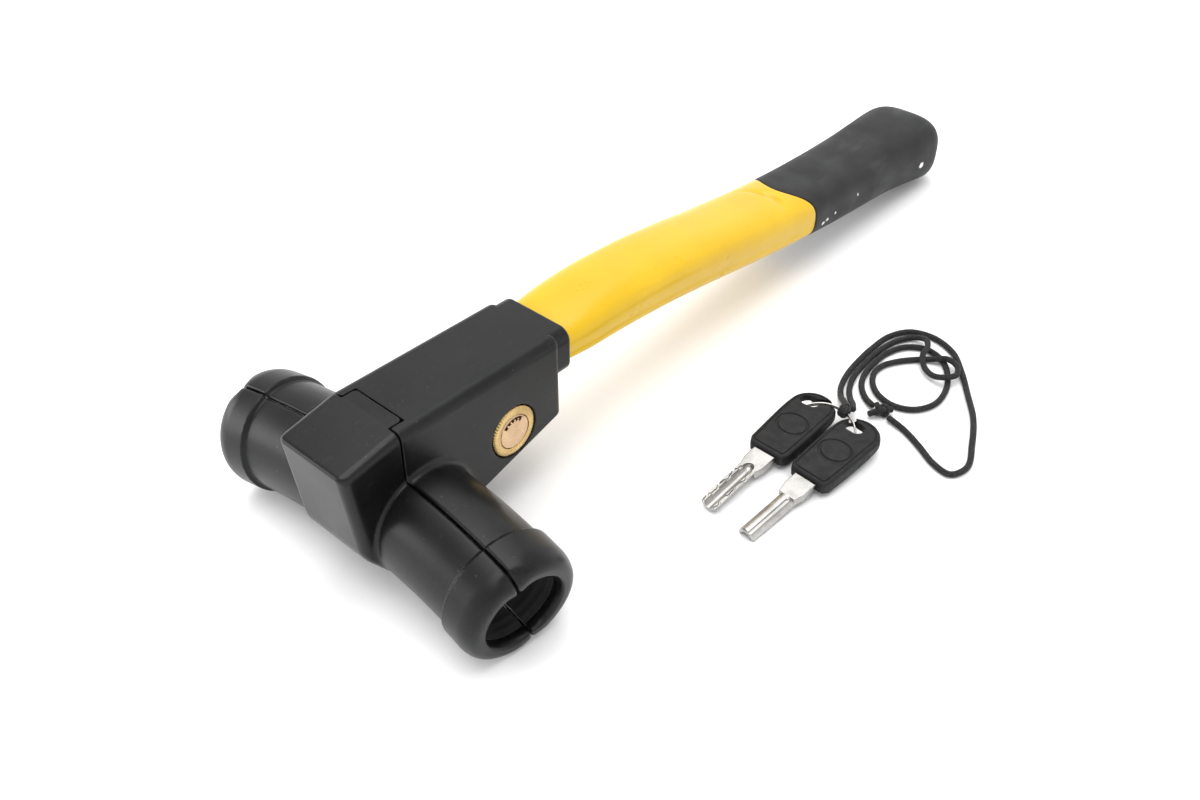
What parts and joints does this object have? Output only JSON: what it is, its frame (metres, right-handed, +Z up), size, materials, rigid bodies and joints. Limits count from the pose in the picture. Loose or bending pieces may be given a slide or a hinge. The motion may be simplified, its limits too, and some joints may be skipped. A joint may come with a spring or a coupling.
{
  "type": "steering wheel clamp lock",
  "caption": "Hammer-shaped steering-wheel clamp lock: hinged tubular jaws closed by a key cylinder, a yellow handle with a rubber grip, and loose keys on a ring with a cord.",
  "frame": {"origin": "under the middle of the lock and its keys, on the surface that they lie on; the lanyard is not counted", "axes": "+X along the clamp tube towards the side with the key cylinder, +Y from the clamp towards the handle's end, +Z up"},
  "size_m": [0.1863, 0.3238, 0.059],
  "materials": {
    "black_plastic": "satin moulded plastic",
    "yellow_plastic": "glossy moulded plastic",
    "grip_rubber": "soft matt rubber with light scuffs",
    "liner_rubber": "matt",
    "steel": "zinc plated",
    "brass": "satin with a knurled ring",
    "nickel": "polished nickel plate",
    "key_plastic": "fine matt grain",
    "cord": "round braided cord"
  },
  "bodies": {
    "lock": {"body_housing": "black_plastic", "body_base_cover": "black_plastic", "base_screw_1": "steel", "base_screw_2": "steel", "base_screw_3": "steel", "base_screw_4": "steel", "rear_jaw_steel": "steel", "rear_jaw_liner": "liner_rubber", "jaw_hinge_pin": "steel", "frame_plate_left": "steel", "frame_plate_right": "steel", "frame_spacer_front": "steel", "frame_spacer_rear": "steel", "frame_pin_1": "steel", "frame_pin_2": "steel", "handle_socket_block": "steel", "frame_screw_left_1": "steel", "frame_screw_right_1": "steel", "frame_screw_left_2": "steel", "frame_screw_right_2": "steel", "cylinder_body": "brass", "cylinder_ring": "brass", "pawl_pin": "steel", "pawl_spring": "steel", "handle_rod": "steel", "handle_pin": "steel", "handle_sleeve": "yellow_plastic", "handle_grip": "grip_rubber", "split_ring": "nickel", "lanyard_hitch": "cord", "lanyard_cord_outer": "cord", "lanyard_cord_inner": "cord", "lanyard_knot": "cord"},
    "front_jaw": {"front_jaw_cover": "black_plastic", "front_jaw_steel": "steel", "front_jaw_liner": "liner_rubber", "jaw_hasp": "steel"},
    "lock_plug": {"cylinder_plug": "brass", "lock_cam": "steel", "cam_clip": "steel"},
    "pawl": {"locking_pawl": "steel"},
    "key_1": {"key_1_bow": "key_plastic", "key_1_blade": "nickel"},
    "key_2": {"key_2_bow": "key_plastic", "key_2_blade": "nickel"}
  },
  "joints": [
    {"name": "jaw_hinge", "type": "hinge", "parent": "lock", "child": "front_jaw", "pos_m": [-0.0147, -0.13305, 0.00369], "axis": [1, 0, 0], "range_deg": [0, 60]},
    {"name": "key_turn", "type": "hinge", "parent": "lock", "child": "lock_plug", "pos_m": [-0.0147, -0.0983, 0.03065], "axis": [-1, 0, 0], "range_deg": [0, 90]},
    {"name": "pawl_turn", "type": "hinge", "parent": "lock", "child": "pawl", "pos_m": [-0.0147, -0.10878, 0.03729], "axis": [1, 0, 0], "range_deg": [0, 10], "deforming": ["pawl_spring"]},
    {"name": "key_1_lift", "type": "hinge", "parent": "lock", "child": "key_1", "pos_m": [0.05018, -0.00513, 0.00617], "axis": [-0.6672, -0.7227, -0.1802], "range_deg": [0, 12]},
    {"name": "key_2_lift", "type": "hinge", "parent": "lock", "child": "key_2", "pos_m": [0.06945, -0.00588, 0.00598], "axis": [-0.6053, 0.7724, 0.1926], "range_deg": [0, 12]}
  ],
  "couplings": [
    {"joint": "pawl_turn", "follows": "key_turn", "ratio": 0.109}
  ]
}
